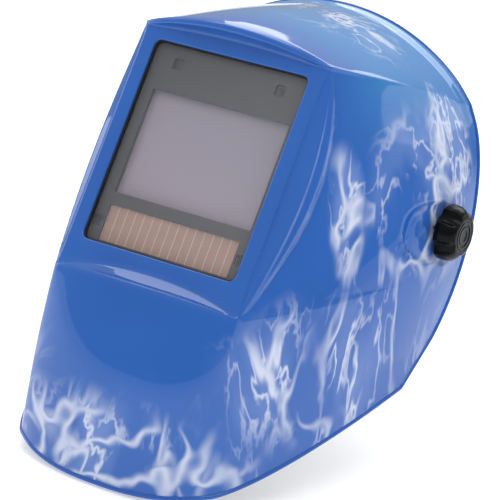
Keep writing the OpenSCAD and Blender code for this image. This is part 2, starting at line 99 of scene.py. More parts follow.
def bezier(points, t):
    t = column(t)
    a, b, c, d = points
    return a * (1 - t) ** 3 + b * 3 * t * (1 - t) ** 2 + c * 3 * t * t * (1 - t) + d * t**3


def face_point(x, up, out):
    x, up, out = np.broadcast_arrays(*(np.asarray(v, float) for v in (x, up, out)))
    return np.stack(
        [
            x,
            FACE_MIDDLE[1] + up * math.sin(LEAN) - out * math.cos(LEAN),
            FACE_MIDDLE[2] + up * math.cos(LEAN) + out * math.sin(LEAN),
        ],
        -1,
    )


RIM_FRONT = vec(0, -175, -152)
RIM_CORNER = vec(66, -158, -145)
RIM_REAR = vec(SHELL_HALF - 4, -21, -95)
REAR_NOTCH = vec(SHELL_HALF - 2.5, 7, -68)
CREASE_END = vec(SHELL_HALF - 18, 39, 69)
CROWN_REAR = vec(0, 39, 111)
BROW_CORNER = face_point(PLATE_HALF + 1, 71.5, 0.5)
BROW_TOP = face_point(0, 80.5, 8)
CHIN_LIP = face_point(0, -81, 8)
CHIN_CORNER = face_point(PLATE_HALF, -82, 0.5)
NOTCH_SHARE = 0.12


def rim_side(t):
    return bezier([RIM_CORNER, vec(84, -138, -139), vec(102, -72, -112), RIM_REAR], t)


def rear_edge(t):
    t = np.asarray(t, float)
    low = mix(RIM_REAR, REAR_NOTCH, column(t / NOTCH_SHARE))
    high = bezier(
        [REAR_NOTCH, vec(112, 36, -30), vec(116, 40, 36), CREASE_END],
        np.clip((t - NOTCH_SHARE) / (1 - NOTCH_SHARE), 0, 1),
    )
    return np.where(column(t) < NOTCH_SHARE, low, high)


def crease(t):
    return bezier([BROW_CORNER, vec(75, -55, 91), vec(87, -2, 83), CREASE_END], t)


def flare_drop(c):
    c = np.asarray(c, float)
    return np.stack([0 * c, 0 * c, CROWN_FLARE * (1 - c**3)], -1)


def crown_edge(t):
    return bezier([CROWN_REAR, vec(40, 39, 111), vec(76, 39, 92), CREASE_END], t)


def crown_line(t):
    return bezier([BROW_TOP, vec(0, -66, 114), vec(0, -10, 114), CROWN_REAR - flare_drop(0)], t)


# Rows of the front: [height in the middle, depth in the middle, height at the edge, depth at the edge]
LIP_ROWS = [[-81, 8, -82, 0.5], [-79.5, 5.5, -81.6, 0.3], [-72, 0, -81, 0]]
PLATE_TOP = [73, 0, 69, 0]
BROW_ROWS = [PLATE_TOP, [74, 11, 69.6, 0.6], [77.5, 11.5, 70.6, 0.8], [80.5, 8, 71.5, 0.5]]
CHIN_STEPS = 44
LEDGE_STEPS = (3, 5)
PLATE_STEPS = 50
BROW_STEPS = (6, 3, 3)
PLATE_RINGS = 4


def spans(rows, steps):
    """The rows with steps in between, without the first."""
    out = []
    for low, high, n in zip(rows[:-1], rows[1:], steps):
        out += [mix(np.array(low, float), np.array(high, float), k / n) for k in range(1, n + 1)]
    return out


FACE_ROWS = np.array(
    spans(LIP_ROWS, LEDGE_STEPS)
    + spans([LIP_ROWS[-1], PLATE_TOP], (PLATE_STEPS,))
    + spans(BROW_ROWS, BROW_STEPS)
)
PLATE_LOW = CHIN_STEPS + sum(LEDGE_STEPS)
PLATE_HIGH = PLATE_LOW + PLATE_STEPS
LAST_ROW = CHIN_STEPS + len(FACE_ROWS)

FRONT_STEPS = 30
PLEAT_STEPS = 20
BACK_STEPS = 46
PLEAT_SHARE = 0.15
front_cols = np.linspace(0, 1, FRONT_STEPS + 1)
side_cols = np.concatenate(
    [
        np.linspace(0, PLEAT_SHARE, PLEAT_STEPS, endpoint=False),
        np.linspace(PLEAT_SHARE, 1, BACK_STEPS + 1),
    ]
)
SIDE_STEPS = len(side_cols) - 1
HALF_COLS = FRONT_STEPS + SIDE_STEPS


def front_grid(c):
    """Points of every row of the front, at the shares c of its half width."""
    t = np.linspace(0, 1, CHIN_STEPS + 1)[:, None]
    bow = np.sin(math.pi * t)[..., None] * vec(0, -3, 0)
    middle = mix(RIM_FRONT, CHIN_LIP, column(t)) + bow
    edge = mix(RIM_CORNER, CHIN_CORNER, column(t)) + bow
    chin = mix(middle, edge, column(c[None, :] ** CHIN_ROUNDNESS))
    chin[..., 0] = edge[..., 0] * c[None, :]
    rows = FACE_ROWS[:, :, None]
    power = np.full(len(FACE_ROWS), 2.0)
    ledge = sum(LEDGE_STEPS)
    power[:ledge] = mix(CHIN_ROUNDNESS, 2.0, np.arange(1, ledge + 1) / ledge)
    shape = c[None, :] ** power[:, None]
    half = np.full(len(FACE_ROWS), PLATE_HALF)
    half[-1] = BROW_CORNER[0]
    half[-2] = mix(PLATE_HALF, BROW_CORNER[0], 0.6)
    face = face_point(
        half[:, None] * c[None, :],
        mix(rows[:, 0], rows[:, 2], shape),
        mix(rows[:, 1], rows[:, 3], shape),
    )
    return np.concatenate([chin, face])


def side_grid(h):
    front = front_grid(np.array([1.0]))
    v = (front[:, 0, 2] - RIM_CORNER[2]) / (BROW_CORNER[2] - RIM_CORNER[2])
    h = h[None, :]
    v = v[:, None]
    ends = mix(front, rear_edge(v), column(h))
    rails = mix(rim_side(h), crease(h), column(v))
    corners = mix(mix(RIM_CORNER, RIM_REAR, column(h)), mix(BROW_CORNER, CREASE_END, column(h)), column(v))
    swell = SIDE_SWELL * np.sin(math.pi * v) * np.sin(math.pi * h**1.6)
    grid = ends + rails - corners
    grid[..., 0] += swell
    grid[-1] = crease(h[0])
    return grid


def crown_grid(g, c):
    g, c = np.meshgrid(g, c, indexing="ij")
    top = front_grid(c[0])[-1][None]
    ends = mix(top, crown_edge(c) - flare_drop(c), column(g))
    rails = mix(crown_line(g), crease(g), column(c))
    back = CROWN_REAR - flare_drop(0)
    corners = mix(mix(BROW_TOP, BROW_CORNER, column(c)), mix(back, CREASE_END, column(c)), column(g))
    return ends + rails - corners + flare_drop(c) * column(g) ** 7


# How lines are rounded: reach in radii, radius of full weight, passes, their pace, and the least step
SOFT_REACH = 1.6
SOFT_TOP = 9
SOFT_PASSES = 26
SOFT_PACE = 0.6
SOFT_STEP = 0.4
CHUNK = 4000


def on_plate(row, col):
    return PLATE_LOW <= row < PLATE_HIGH and -FRONT_STEPS <= col < FRONT_STEPS


class Skin:
    """The shell's outer skin: a welded grid of its right half and the mirror image."""

    def __init__(self):
        wrap = np.concatenate([front_grid(front_cols), side_grid(side_cols[1:])], 1)
        mirrored = wrap[:, :0:-1] * vec(-1, 1, 1)
        self.rows, self.cols = wrap.shape[0], 2 * HALF_COLS + 1
        wrap = np.concatenate([mirrored, wrap], 1)
        crown = crown_grid(side_cols[1:], front_cols[:-1])
        crown = np.concatenate([crown[:, :0:-1] * vec(-1, 1, 1), crown], 1)
        self.crown_cols = crown.shape[1]
        self.points = np.concatenate([wrap.reshape(-1, 3), crown.reshape(-1, 3)])
        self.crown_start = self.rows * self.cols
        self.quads = []
        self.add_quads(self.wrap_id, LAST_ROW, HALF_COLS, on_plate)
        self.add_quads(self.crown_id, SIDE_STEPS, FRONT_STEPS)
        self.plate_ring()
        self.quads = np.array(self.quads)

    def wrap_id(self, row, col):
        return row * self.cols + col + HALF_COLS

    def crown_id(self, g, col):
        if g == 0:
            return self.wrap_id(LAST_ROW, col)
        if abs(col) == FRONT_STEPS:
            return self.wrap_id(LAST_ROW, int(math.copysign(FRONT_STEPS + g, col)))
        return self.crown_start + (g - 1) * self.crown_cols + col + FRONT_STEPS - 1

    def add_quads(self, point_id, rows, half_cols, is_open=None):
        for row in range(rows):
            for col in range(-half_cols, half_cols):
                if is_open and is_open(row, col):
                    continue
                corners = ((row, col), (row, col + 1), (row + 1, col + 1), (row + 1, col))
                self.quads.append([point_id(*corner) for corner in corners])

    def plate_ring(self):
        """The flat plate between its border and the window, as rings, and the window's rounded edge."""
        low, high, f = PLATE_LOW, PLATE_HIGH, FRONT_STEPS
        border, where = [], []
        for side, cells in enumerate((2 * f, high - low, 2 * f, high - low)):
            for k in range(cells):
                s = 2 * k / cells - 1
                col = (-f + k, f, f - k, -f)[side]
                row = (low, low + k, high, high - k)[side]
                border.append(self.wrap_id(row, col))
                where.append((side, s))
        border = np.array(border)
        rings = [border]
        local = self.points[border] - np.array(FACE_MIDDLE, float)
        up = local[:, 1] * math.sin(LEAN) + local[:, 2] * math.cos(LEAN)
        flat = np.stack([local[:, 0], up], 1)
        for k in range(1, PLATE_RINGS + 1):
            rings.append(self.add_ring(mix(flat, window_loop(where, WINDOW_FILLET), k / PLATE_RINGS), 0))
        self.fillet_from = len(self.points)
        for angle in (22.5, 45, 67.5, 90):
            a = math.radians(angle)
            loop = window_loop(where, WINDOW_FILLET * (1 - math.sin(a)))
            rings.append(self.add_ring(loop, -WINDOW_FILLET * (1 - math.cos(a))))
        self.window_ring = rings[PLATE_RINGS]
        self.window_wall = rings[-1]
        for outer, inner in zip(rings[:-1], rings[1:]):
            self.quads += ring_faces(outer, inner)

    def add_ring(self, flat, out):
        start = len(self.points)
        self.points = np.concatenate([self.points, face_point(*flat.T, out)])
        return np.arange(start, start + len(flat))

    def rim(self):
        """The open edge of the shell, as a loop of point numbers."""
        loop = [self.wrap_id(0, c) for c in range(-HALF_COLS, HALF_COLS + 1)]
        loop += [self.wrap_id(r, HALF_COLS) for r in range(1, LAST_ROW + 1)]
        loop += [self.crown_id(SIDE_STEPS, c) for c in range(FRONT_STEPS - 1, -FRONT_STEPS, -1)]
        loop += [self.wrap_id(r, -HALF_COLS) for r in range(LAST_ROW, 0, -1)]
        return np.array(loop)

    def normals(self):
        a, b, c, d = (self.points[self.quads[:, k]] for k in range(4))
        face = np.cross(c - a, d - b)
        total = np.zeros_like(self.points)
        for k in range(4):
            np.add.at(total, self.quads[:, k], face)
        length = np.linalg.norm(total, axis=1, keepdims=True)
        return total / np.maximum(length, 1e-9)

    def soften(self, line, radius):
        """Rounds the skin along a line of points, each with its own radius."""
        radius = np.broadcast_to(radius, len(line))
        weight = np.zeros(len(self.points))
        for first in range(0, len(self.points), CHUNK):
            part = self.points[first : first + CHUNK]
            d = np.linalg.norm(part[:, None] - line[None], axis=2) / (SOFT_REACH * radius[None])
            share = (radius[d.argmin(1)] / SOFT_TOP) ** 2
            weight[first : first + CHUNK] = smooth(1.25 * (1 - d.min(1))) * np.minimum(share, 1)
        weight[self.fillet_from :] = 0
        edges = np.concatenate([self.quads[:, [k, (k + 1) % 4]] for k in range(4)])
        edges = np.unique(np.sort(edges, 1), axis=0)
        on_rim = np.isin(np.arange(len(self.points)), self.rim())
        into = np.concatenate([edges, edges[:, ::-1]])
        into = into[on_rim[into[:, 1]] | ~on_rim[into[:, 0]]]
        into = into[weight[into[:, 0]] > 0]
        for _ in range(SOFT_PASSES):
            step = self.points[into[:, 1]] - self.points[into[:, 0]]
            w = 1 / np.maximum(np.linalg.norm(step, axis=1), SOFT_STEP)
            total = np.zeros_like(self.points)
            share = np.zeros(len(self.points))
            np.add.at(total, into[:, 0], step * w[:, None])
            np.add.at(share, into[:, 0], w)
            self.points += SOFT_PACE * weight[:, None] * total / np.maximum(share, 1e-9)[:, None]


def window_loop(where, grow):
    """Points of the window's rounded outline, grown outwards, for (side, share) places on it."""
    w, h, r = WINDOW_HALF_W + grow, WINDOW_HALF_H + grow, WINDOW_CORNER + grow
    out = []
    for side, s in where:
        half = (w, h)[side % 2] - r
        arc = math.pi / 4 * r
        run = s * (half + arc)
        if abs(run) <= half:
            x, y = run, (h, w)[side % 2]
        else:
            a = (abs(run) - half) / r
            x = math.copysign(half + r * math.sin(a), run)
            y = (h, w)[side % 2] - r + r * math.cos(a)
        out.append(((x, -y), (y, x), (-x, y), (-y, -x))[side])
    return np.array(out)


# -------------------------------- meshes
def new_object(name, points, faces, materials):
    """A mesh object from points in millimetres."""
    mesh = bpy.data.meshes.new(name)
    corners = [tuple(int(i) for i in face) for face in faces]
    mesh.from_pydata([tuple(p) for p in np.asarray(points) * MM], [], corners)
    for material in materials:
        mesh.materials.append(material)
    mesh.update()
    mesh.shade_smooth()
    item = bpy.data.objects.new(name, mesh)
    bpy.context.scene.collection.objects.link(item)
    return item


WELD = 0.01 * MM


def tidy_mesh(item, merge=WELD):
    """Drops loose points, welds doubles and turns every face outwards."""
    work = bmesh.new()
    work.from_mesh(item.data)
    bmesh.ops.delete(work, geom=[v for v in work.verts if not v.link_faces], context="VERTS")
    bmesh.ops.remove_doubles(work, verts=work.verts, dist=merge)
    bmesh.ops.recalc_face_normals(work, faces=work.faces)
    work.to_mesh(item.data)
    work.free()


def bake_modifiers(item):
    """Puts the result of an object's modifiers into its mesh."""
    bpy.context.view_layer.update()
    evaluated = item.evaluated_get(bpy.context.evaluated_depsgraph_get())
    mesh = bpy.data.meshes.new_from_object(evaluated)
    item.modifiers.clear()
    item.data = mesh


def ring_faces(a, b):
    """The faces between two closed rings of point numbers."""
    n = len(a)
    return [[a[k], a[(k + 1) % n], b[(k + 1) % n], b[k]] for k in range(n)]


def loft(rings, closed_path=False, caps=False):
    """Points and faces of a surface through closed rings of equal length."""
    rings = np.asarray(rings)
    n, m = rings.shape[:2]
    ids = np.arange(n * m).reshape(n, m)
    faces = []
    for i in range(n if closed_path else n - 1):
        faces += ring_faces(ids[i], ids[(i + 1) % n])
    if caps:
        faces += [list(ids[0][::-1]), list(ids[-1])]
    return rings.reshape(-1, 3), faces


def cut_out(item, cutters):
    """Cuts the shapes of other objects out of one, and drops them."""
    for cutter in cutters:
        cut = item.modifiers.new("opening", "BOOLEAN")
        cut.operation = "DIFFERENCE"
        cut.solver = "EXACT"
        cut.object = cutter
    bake_modifiers(item)
    for cutter in cutters:
        bpy.data.objects.remove(cutter)


# -------------------------------- materials
def rgb(*display):
    """A display colour of 0 to 255 as the linear colour that shaders use."""
    shares = [v / 255 for v in display]
    return (*(v / 12.92 if v <= 0.04045 else ((v + 0.055) / 1.055) ** 2.4 for v in shares), 1.0)


def scaled(colour, factor, lift=0.0):
    """A colour made lighter or darker."""
    return (*(min(1, c * factor + lift) for c in colour[:3]), 1)


class Graph:
    """A material's nodes. Values that are sockets are linked, and others are set."""

    def __init__(self, name, **constants):
        self.material = bpy.data.materials.new(name)
        self.material.use_nodes = True
        self.tree = self.material.node_tree
        self.shader = self.tree.nodes["Principled BSDF"]
        self.coords = self.tree.nodes.new("ShaderNodeTexCoord").outputs["Object"]
        for key, value in constants.items():
            self.set(**{key: value})

    def set(self, **values):
        for key, value in values.items():
            self.feed(self.shader, key.replace("_", " ").title().replace("Ior", "IOR"), value)

    def feed(self, node, key, value):
        socket = node.inputs[key]
        if isinstance(value, bpy.types.NodeSocket):
            self.tree.links.new(value, socket)
        else:
            socket.default_value = value

    def node(self, kind, feeds, **settings):
        node = self.tree.nodes.new("ShaderNode" + kind)
        for key, value in settings.items():
            setattr(node, key, value)
        for key, value in feeds.items():
            self.feed(node, key, value)
        return node

    def math(self, operation, a, b=0.0, c=0.0):
        node = self.node("Math", {0: a, 1: b}, operation=operation)
        if operation == "MULTIPLY_ADD":
            self.feed(node, 2, c)
        return node.outputs[0]

    def vector(self, operation, a, b=(0, 0, 0)):
        node = self.node("VectorMath", {0: a}, operation=operation)
        if operation == "SCALE":
            self.feed(node, "Scale", b)
        else:
            self.feed(node, 1, b)
        return node.outputs["Value" if operation == "LENGTH" else "Vector"]

    def noise(self, scale, vector=None, detail=3.0, out="Fac"):
        feeds = {"Vector": vector or self.coords, "Scale": scale, "Detail": detail}
        return self.node("TexNoise", feeds).outputs[out]

    def ease(self, value, low, high, to_low=0.0, to_high=1.0):
        feeds = {"Value": value, "From Min": low, "From Max": high, "To Min": to_low, "To Max": to_high}
        return self.node("MapRange", feeds, interpolation_type="SMOOTHSTEP").outputs["Result"]

    def blend(self, factor, a, b):
        node = self.node("Mix", {0: factor}, data_type="RGBA")
        self.feed(node, 6, a)
        self.feed(node, 7, b)
        return node.outputs[2]

    def bump(self, height, distance, strength=1.0):
        feeds = {"Height": height, "Distance": distance, "Strength": strength}
        self.set(normal=self.node("Bump", feeds).outputs["Normal"])


def moulded(name, colour, roughness, grain=900, depth=0.00004, wear=0.06, shine=0.5):
    """Moulded plastic: a fine spark-eroded grain, and slight changes of gloss and shade."""
    g = Graph(name, specular_ior_level=shine)
    patches = g.noise(60, detail=4)
    g.set(base_color=g.blend(patches, scaled(colour, 1 - wear), scaled(colour, 1 + wear, 0.002)))
    g.set(roughness=g.ease(patches, 0.3, 0.7, roughness * 0.85, min(1, roughness * 1.15)))
    g.bump(g.noise(grain, detail=2), depth)
    return g.material


def metal(name, colour, roughness):
    """Bright steel with fine tool marks."""
    g = Graph(name, metallic=1.0)
    marks = g.noise(700)
    g.set(base_color=g.blend(marks, scaled(colour, 0.8), colour))
    g.set(roughness=g.ease(marks, 0.2, 0.8, roughness * 0.8, roughness * 1.3))
    g.bump(marks, 0.00002)
    return g.material


PAINT_GLOSS = {"coat_weight": 1.0, "coat_roughness": 0.04, "roughness": 0.5, "specular_ior_level": 0.1}
BLUE = rgb(32, 98, 184)
BLUE_DEEP = rgb(22, 84, 168)
# Painted sky reflection: the lighter, more cyan blue that the crown is painted with, in place of the light
# it catches from above
BLUE_PAINTED_SKY_SHEEN = rgb(44, 124, 190)
WISP = rgb(222, 226, 240)
WISP_SOFT = rgb(134, 158, 214)
# Middles and half sizes of the patches of artwork, in metres, the same on both sides
ART = (
    ((0.108, -0.028, -0.004), (0.040, 0.036, 0.080)),
    ((0.108, 0.010, 0.050), (0.040, 0.020, 0.040)),
    ((0.092, -0.085, -0.078), (0.060, 0.080, 0.042)),
    ((0.030, -0.168, -0.138), (0.072, 0.046, 0.034)),
    ((0.084, -0.076, 0.010), (0.024, 0.012, 0.036)),
    ((0.020, 0.000, 0.118), (0.050, 0.036, 0.050)),
)


def nearness(g, place, middle, size, low, high):
    """How near a place is to the middle of an oval of a half size."""
    offset = g.vector("DIVIDE", g.vector("SUBTRACT", place, middle), size)
    return g.ease(g.vector("LENGTH", offset), low, high)


def wandering(g, scale, amount, place=None):
    """A place pushed about by smooth noise."""
    push = g.vector("SUBTRACT", g.noise(scale, place, 2, "Color"), (0.5, 0.5, 0.5))
    return g.vector("ADD", place or g.coords, g.vector("SCALE", push, amount))


def ridges(g, place, scale, width, detail=2.5):
    """Soft filaments where a noise passes through its middle value."""
    level = g.math("ABSOLUTE", g.math("SUBTRACT", g.noise(scale, place, detail), 0.5))
    return g.math("POWER", g.ease(level, width, 0.0), 1.6)


def painted_shell():
    """Glossy blue paint under a clear coat, with airbrushed smoke on the sides, chin and crown, and a
    painted sky reflection that makes the crown lighter and more cyan.
    """
    g = Graph("shell_paint", **PAINT_GLOSS)
    split = g.node("SeparateXYZ", {"Vector": g.coords})
    mirrored = g.node(
        "CombineXYZ",
        {"X": g.math("ABSOLUTE", split.outputs["X"]), "Y": split.outputs["Y"], "Z": split.outputs["Z"]},
    ).outputs["Vector"]
    edge = wandering(g, 16, 0.03, mirrored)
    where = None
    for middle, size in ART:
        here = nearness(g, edge, middle, size, 1.3, 0.6)
        where = here if where is None else g.math("MAXIMUM", where, here)
    flow = wandering(g, 11, 0.07, g.vector("MULTIPLY", g.coords, (1, 1, 0.5)))
    flow = wandering(g, 38, 0.012, flow)
    broad = g.noise(17, flow)
    smoke = g.ease(broad, 0.45, 0.7)
    strand = g.math("MULTIPLY", ridges(g, flow, 24, 0.05), g.ease(broad, 0.34, 0.56))
    hair = g.math("MULTIPLY", ridges(g, flow, 60, 0.055, 3), g.ease(broad, 0.42, 0.58))
    lines = g.math("MAXIMUM", g.math("MULTIPLY", strand, 0.95), g.math("MULTIPLY", hair, 0.85))
    petal = ridges(g, wandering(g, 30, 0.02), 30, 0.07, 1)
    low = g.ease(split.outputs["Z"], -0.095, -0.115)
    lines = g.math("MAXIMUM", lines, g.math("MULTIPLY", g.math("MULTIPLY", petal, 0.85), low))
    grain = g.ease(g.noise(120, flow, 3), 0.25, 0.75, 0.72, 1.0)
    cloud = g.math("MULTIPLY", g.math("MULTIPLY", smoke, 0.6), where)
    base = g.blend(g.noise(14, detail=2), BLUE_DEEP, BLUE)
    # Painted sky reflection: behind the brow, the paint turns lighter and more cyan towards the top of the
    # crown, as if lit from above
    behind_brow = g.ease(split.outputs["Y"], -0.09, -0.035)
    crown_sky_sheen = g.math("MULTIPLY", g.ease(split.outputs["Z"], 0.03, 0.1), behind_brow)
    base = g.blend(crown_sky_sheen, base, BLUE_PAINTED_SKY_SHEEN)
    misty = g.blend(cloud, base, WISP_SOFT)
    g.set(base_color=g.blend(g.math("MULTIPLY", g.math("MULTIPLY", lines, where), grain), misty, WISP))
    g.bump(g.noise(160, detail=1), 0.00001, 0.5)
    return g.material


def plain_paint():
    g = Graph("shell_edge_paint", **PAINT_GLOSS)
    g.set(base_color=g.blend(g.noise(14, detail=2), rgb(14, 78, 166), rgb(20, 88, 178)))
    g.bump(g.noise(160, detail=1), 0.00001, 0.5)
    return g.material


PAINT = painted_shell()
BEAD_PAINT = plain_paint()
INSIDE = moulded("shell_inside", rgb(30, 48, 92), 0.5)
BLACK = moulded("black_plastic", rgb(24, 24, 27), 0.42)
RUBBER = moulded("gasket_rubber", rgb(12, 12, 13), 0.6)


# -------------------------------- shell
def lengths(points):
    """Each point's distance along a line of points."""
    return np.concatenate([[0], np.cumsum(np.linalg.norm(np.diff(points, axis=0), axis=1))])


# The pleats' section: heights at shares of their width, the full width, and the columns that they may reach
PLEAT_SHARES = (0, 0.05, 0.1, 0.38, 0.42, 0.5, 0.68, 0.72, 0.9, 1)
PLEAT_HEIGHTS = (0, -1.7, -1.2, 3.5, 3.6, 2.2, 2.6, 2.2, -1.0, 0)
PLEAT_WIDTH = 29
PLEAT_COLS = range(FRONT_STEPS, FRONT_STEPS + PLEAT_STEPS + 7)
THINNEST_PLEAT = 0.03


def pleat_offsets(skin, height):
    """Spindle-shaped pleats behind each side edge of the face plate."""
    for row in range(CHIN_STEPS + 1, LAST_ROW):
        level = FACE_ROWS[row - CHIN_STEPS - 1][2]
        share = (level - FACE_ROWS[0][2]) / (FACE_ROWS[-1][2] - FACE_ROWS[0][2])
        fullness = math.sin(math.pi * min(max(share, 0), 1)) ** 0.75
        if fullness < THINNEST_PLEAT:
            continue
        ids, mirror_ids = ([skin.wrap_id(row, side * c) for c in PLEAT_COLS] for side in (1, -1))
        along = lengths(skin.points[ids]) / (PLEAT_WIDTH * fullness)
        rise = np.interp(along, PLEAT_SHARES, PLEAT_HEIGHTS, right=0) * fullness
        height[ids] += rise
        height[mirror_ids] += rise


# The border's section: heights at distances from the edge, and how many columns it covers
STEP_PLACES = (0, 0.8, 7.6, 8.4, 9.2, 10.2)
STEP_HEIGHTS = (0.9, 1.0, 1.0, -0.6, -0.6, 0)
STEP_COLS = 14


def rear_step_offsets(skin, height):
    """The raised border along the shell's rear edge, with a groove in front of it."""
    for side in (-1, 1):
        for row in range(CHIN_STEPS // 2, LAST_ROW + 1):
            ids = [skin.wrap_id(row, side * c) for c in range(HALF_COLS, HALF_COLS - STEP_COLS, -1)]
            fade = smooth((row - PLATE_LOW) / PLATE_STEPS - 0.35)
            height[ids] += border(skin, ids) * fade
    for col in range(1 - FRONT_STEPS, FRONT_STEPS):
        ids = [skin.crown_id(g, col) for g in range(SIDE_STEPS, SIDE_STEPS - STEP_COLS, -1)]
        height[ids] += border(skin, ids)


def border(skin, ids):
    """The border's height at points that run in from the edge."""
    return np.interp(lengths(skin.points[ids]), STEP_PLACES, STEP_HEIGHTS, right=0)


# The recess beside each knob: its radius, its run forward, its depth, its soft edge and the least X
RECESS_R = 16.5
RECESS_RUN = 21
RECESS_DEPTH = 1.6
RECESS_EASE = 3
SIDE_X = 90
# The flat around each knob, and how far out it may stand
FLAT_R = 20
FLAT_X = 109.8


def pivot_recess(skin, height):
    """A shallow recess that runs forward from each tilt knob."""
    p = skin.points
    run = np.clip(-p[:, 1], 0, RECESS_RUN)
    edge = np.hypot(p[:, 1] + run, p[:, 2]) - RECESS_R
    on_side = np.abs(p[:, 0]) > SIDE_X
    height -= np.where(on_side, RECESS_DEPTH * smooth(0.5 - edge / RECESS_EASE), 0)


def soften_shell(skin):
    """Rounds the creases between the front, the sides, the crown, the ledge and the brow."""
    p = skin.points
    for side in (-1, 1):
        edge = p[[skin.wrap_id(r, side * FRONT_STEPS) for r in range(LAST_ROW + 1)]]
        crown = p[[skin.wrap_id(LAST_ROW, side * (FRONT_STEPS + k)) for k in range(SIDE_STEPS + 1)]]
        skin.soften(edge[CHIN_STEPS:], 2.6)
        skin.soften(edge[: CHIN_STEPS + 1], np.linspace(9, 3, CHIN_STEPS + 1))
        skin.soften(crown, np.linspace(4.5, 9, len(crown)))
    across = range(-FRONT_STEPS, FRONT_STEPS + 1)
    low_brow = PLATE_HIGH + BROW_STEPS[0]
    rows = ((CHIN_STEPS, 3), (PLATE_LOW, 2.5), (PLATE_HIGH, 1.6), (low_brow, 2.4), (LAST_ROW, 3.5))
    lines = [(p[[skin.wrap_id(row, c) for c in across]], radius) for row, radius in rows]
    for line, radius in lines:
        skin.soften(line, radius)


def make_shell():
    """The shell as one closed skin: painted outside, plain inside, open at the window and the pivots."""
    skin = Skin()
    soften_shell(skin)
    normals = skin.normals()
    height = np.zeros(len(skin.points))
    pleat_offsets(skin, height)
    rear_step_offsets(skin, height)
    pivot_recess(skin, height)
    outer = skin.points + normals * height[:, None]
    near_pivot = np.hypot(outer[:, 1], outer[:, 2]) < FLAT_R
    outer[:, 0] = np.where(near_pivot, np.clip(outer[:, 0], -FLAT_X, FLAT_X), outer[:, 0])
    skin.points = outer
    normals = skin.normals()
    n = len(outer)
    inner = outer - normals * SKIN_T
    window = outer[skin.window_wall] - face_normal() * (SKIN_T - WINDOW_FILLET)
    points = np.concatenate([outer, inner, window])
    wall = np.arange(2 * n, 2 * n + len(window))
    faces = [list(q) for q in skin.quads]
    painted = len(faces)
    faces += [[i + n for i in q[::-1]] for q in skin.quads if max(q) < skin.fillet_from]
    rim = skin.rim()
    faces += ring_faces(rim, rim + n)
    faces += ring_faces(skin.window_wall, wall)
    faces += ring_faces(wall, skin.window_ring + n)
    shell = new_object("shell_skin", points, faces, [PAINT, INSIDE])
    for polygon in shell.data.polygons[painted:]:
        polygon.material_index = 1
    tidy_mesh(shell)
    cut_pivot_holes(shell)
    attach(shell, SHELL_BODY)
    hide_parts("shell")
    make_edge_bead(outer[rim], inner[rim], normals[rim])


def face_normal():
    return vec(0, -math.cos(LEAN), math.sin(LEAN))


HOLE_GAP = 0.02 * MM
HOLE_LENGTH = 30 * MM


def cut_pivot_holes(shell):
    """Opens the shell's sides for the two pivot bushes."""
    low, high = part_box("pivot_bush_right")
    radius = (high.z - low.z) / 2
    cutters = []
    for side in (-1, 1):
        bpy.ops.mesh.primitive_cylinder_add(
            vertices=64,
            radius=radius + HOLE_GAP,
            depth=HOLE_LENGTH,
            location=(side * high.x, 0, 0),
            rotation=(0, math.pi / 2, 0),
        )
        cutters.append(bpy.context.object)
    cut_out(shell, cutters)
    shell.data.shade_smooth()


# The bead: its radius, how much wider than thick it is, how deep its middle is, and its points around
BEAD_R = 1.6
BEAD_WIDTH = 1.15
BEAD_DEPTH = 0.9
BEAD_POINTS = 14


def make_edge_bead(outer, inner, normals):
    """The rolled bead around the shell's whole open edge."""
    middle = outer - normals * BEAD_DEPTH
    ahead = np.roll(middle, -1, 0) - np.roll(middle, 1, 0)
    ahead /= np.linalg.norm(ahead, axis=1, keepdims=True)
    out = outer - inner
    out -= ahead * (out * ahead).sum(1, keepdims=True)
    out /= np.linalg.norm(out, axis=1, keepdims=True)
    beyond = np.cross(out, ahead)
    angles = np.arange(BEAD_POINTS) * 2 * math.pi / BEAD_POINTS
    rings = [middle + BEAD_R * (math.cos(a) * BEAD_WIDTH * out + math.sin(a) * beyond) for a in angles]
    points, faces = loft(np.array(rings).transpose(1, 0, 2), closed_path=True)
    bead = new_object("shell_edge_bead", points, faces, [BEAD_PAINT])
    tidy_mesh(bead)
    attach(bead, SHELL_BODY)


make_shell()

# -------------------------------- window seal
# The seal's section: (past the window's edge, out from the face plate)
SEAL_BACK = ((-0.4, -1.4), (-0.65, -1.75), (-0.7, -3.5), (3.6, -3.55))
SEAL_PROFILE = ((3.6, -2.7), (-0.02, -2.65), (-0.02, -1.3), *SEAL_BACK)
SEAL_STEPS = 48


def make_window_seal():
    """The black rubber frame between the window's wall and the cover lens."""
    where = [(side, s) for side in range(4) for s in np.linspace(-1, 1, SEAL_STEPS, endpoint=False)]
    rings = [face_point(*window_loop(where, grow).T, depth) for grow, depth in SEAL_PROFILE]
    seal = new_object("window_seal", *loft(rings, closed_path=True), [RUBBER])
    tidy_mesh(seal)
    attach(seal, SHELL_BODY)
    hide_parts("cover_gasket")


make_window_seal()


# -------------------------------- knobs
# How softly a notch runs out into the rim, and the points around each turned piece
NOTCH_EASE = 0.4
KNOB_POINTS = 240
CAP_POINTS = 120
FIT_POINTS = 288


def turned(rings, place, along, across, upright, n, lobes=0, turn=0.0, notch_r=1.0):
    """Rings of a turned or lobed body. Each ring is (distance along the axis, radius, notch depth)."""
    angles = np.arange(n) * 2 * math.pi / n
    out = []
    for distance, radius, depth in rings:
        r = np.full(n, float(radius))
        if depth:
            spacing = 2 * math.pi / lobes
            delta = (angles - turn + spacing / 2) % spacing - spacing / 2
            centre = radius + notch_r - depth
            reach = notch_r**2 - (centre * np.sin(delta)) ** 2
            near = centre * np.cos(delta) - np.sqrt(np.maximum(reach, 0))
            soft = -NOTCH_EASE * np.log(np.exp(-radius / NOTCH_EASE) + np.exp(-near / NOTCH_EASE))
            r = np.where(reach > 0, soft, r)
        circle = np.cos(angles)[:, None] * across + np.sin(angles)[:, None] * upright
        out.append(place + distance * along + r[:, None] * circle)
    return out


AXIS_X, AXIS_Y, AXIS_Z = vec(1, 0, 0), vec(0, 1, 0), vec(0, 0, 1)
POINT_R = 0.02
